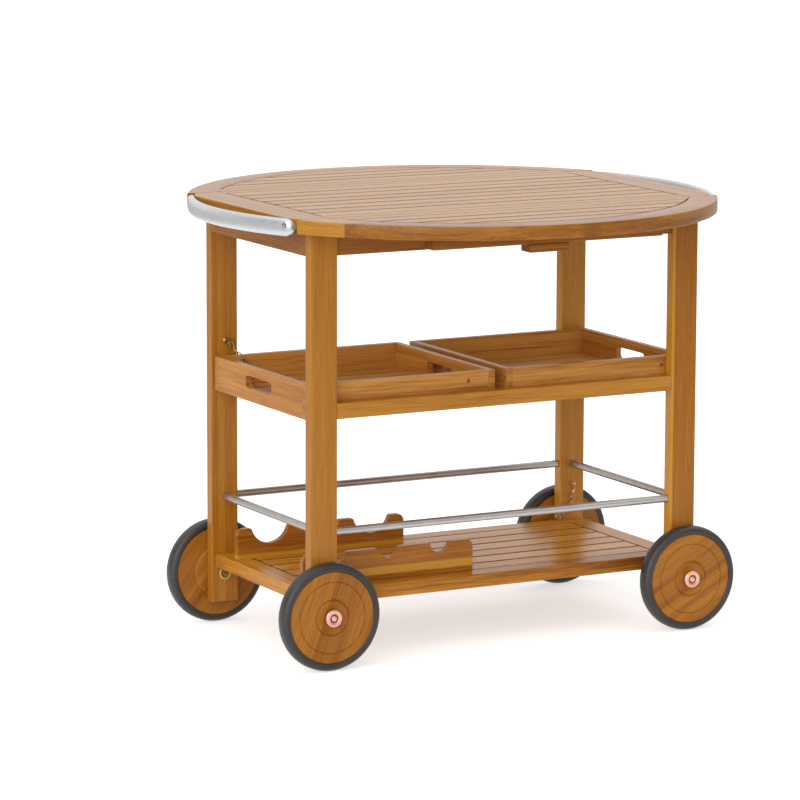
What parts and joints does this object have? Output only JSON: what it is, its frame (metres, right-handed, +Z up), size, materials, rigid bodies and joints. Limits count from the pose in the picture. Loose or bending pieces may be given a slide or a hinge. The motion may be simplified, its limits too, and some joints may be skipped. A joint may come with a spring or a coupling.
{
  "type": "bar cart",
  "caption": "Acacia outdoor bar cart with a round drop-leaf top, sliding trays, slatted shelf with bottle rack and wooden wheels.",
  "frame": {"origin": "on the ground below the middle of the round top, with the cart standing on its wheels", "axes": "+X along the cart from the bottle rack's end to the other end, -Y towards the front, +Z up"},
  "size_m": [0.9018, 0.9018, 0.7493],
  "materials": {
    "acacia": "oiled",
    "tyre": "matte",
    "aluminium": "satin",
    "steel": "brushed",
    "cap_metal": "plated",
    "brass": "plated",
    "zinc": "satin"
  },
  "bodies": {
    "frame": {"aprons_end": "acacia", "aprons_long": "acacia", "bottle_rack_back": "acacia", "bottle_rack_front": "acacia", "chain_screws": "brass", "gallery_rods": "steel", "handle_left": "aluminium", "handle_right": "aluminium", "hinge_fixed_plates": "zinc", "hinge_pins": "zinc", "leg_back_left": "acacia", "leg_back_right": "acacia", "leg_front_left": "acacia", "leg_front_right": "acacia", "shelf_battens": "acacia", "shelf_chains": "brass", "shelf_ends": "acacia", "shelf_rails": "acacia", "shelf_slats": "acacia", "top_battens": "acacia", "top_centre_slats": "acacia", "top_edge_rails": "acacia", "top_end_boards": "acacia", "tray_rails": "acacia", "tray_runners": "acacia", "wheel_axles": "zinc", "wheel_caps": "cap_metal"},
    "leaf_front": {"leaf_rim_front": "acacia", "leaf_hinge_rail_front": "acacia", "leaf_slats_front": "acacia", "leaf_battens_front": "acacia", "leaf_cross_bar_front": "acacia", "leaf_finger_block_front": "acacia", "hinge_leaf_plates_front": "zinc"},
    "leaf_back": {"leaf_rim_back": "acacia", "leaf_hinge_rail_back": "acacia", "leaf_slats_back": "acacia", "leaf_battens_back": "acacia", "leaf_cross_bar_back": "acacia", "leaf_finger_block_back": "acacia", "hinge_leaf_plates_back": "zinc"},
    "tray_left": {"tray_left_walls": "acacia", "tray_left_ends": "acacia", "tray_left_floor": "acacia", "tray_left_bearers": "acacia", "tray_chain_left": "brass"},
    "tray_right": {"tray_right_walls": "acacia", "tray_right_ends": "acacia", "tray_right_floor": "acacia", "tray_right_bearers": "acacia", "tray_chain_right": "brass"},
    "wheel_front_left": {"wheel_front_left_disc": "acacia", "wheel_front_left_tyre": "tyre"},
    "wheel_front_right": {"wheel_front_right_disc": "acacia", "wheel_front_right_tyre": "tyre"},
    "wheel_back_left": {"wheel_back_left_disc": "acacia", "wheel_back_left_tyre": "tyre"},
    "wheel_back_right": {"wheel_back_right_disc": "acacia", "wheel_back_right_tyre": "tyre"}
  },
  "joints": [
    {"name": "leaf_front_drop", "type": "hinge", "parent": "frame", "child": "leaf_front", "pos_m": [0, -0.207, 0.7218], "axis": [1, 0, 0], "range_deg": [0, 90]},
    {"name": "leaf_back_drop", "type": "hinge", "parent": "frame", "child": "leaf_back", "pos_m": [0, 0.207, 0.7218], "axis": [-1, 0, 0], "range_deg": [0, 90]},
    {"name": "tray_left_slide", "type": "slide", "parent": "frame", "child": "tray_left", "axis": [-1, 0, 0], "range_m": [0, 0.37]},
    {"name": "tray_right_slide", "type": "slide", "parent": "frame", "child": "tray_right", "axis": [1, 0, 0], "range_m": [0, 0.37]},
    {"name": "wheel_front_left_spin", "type": "hinge", "parent": "frame", "child": "wheel_front_left", "pos_m": [-0.3455, -0.2169, 0.0905], "axis": [0, 1, 0], "continuous": true},
    {"name": "wheel_front_right_spin", "type": "hinge", "parent": "frame", "child": "wheel_front_right", "pos_m": [0.3455, -0.2169, 0.0905], "axis": [0, 1, 0], "continuous": true},
    {"name": "wheel_back_left_spin", "type": "hinge", "parent": "frame", "child": "wheel_back_left", "pos_m": [-0.3455, 0.2169, 0.0905], "axis": [0, 1, 0], "continuous": true},
    {"name": "wheel_back_right_spin", "type": "hinge", "parent": "frame", "child": "wheel_back_right", "pos_m": [0.3455, 0.2169, 0.0905], "axis": [0, 1, 0], "continuous": true}
  ]
}
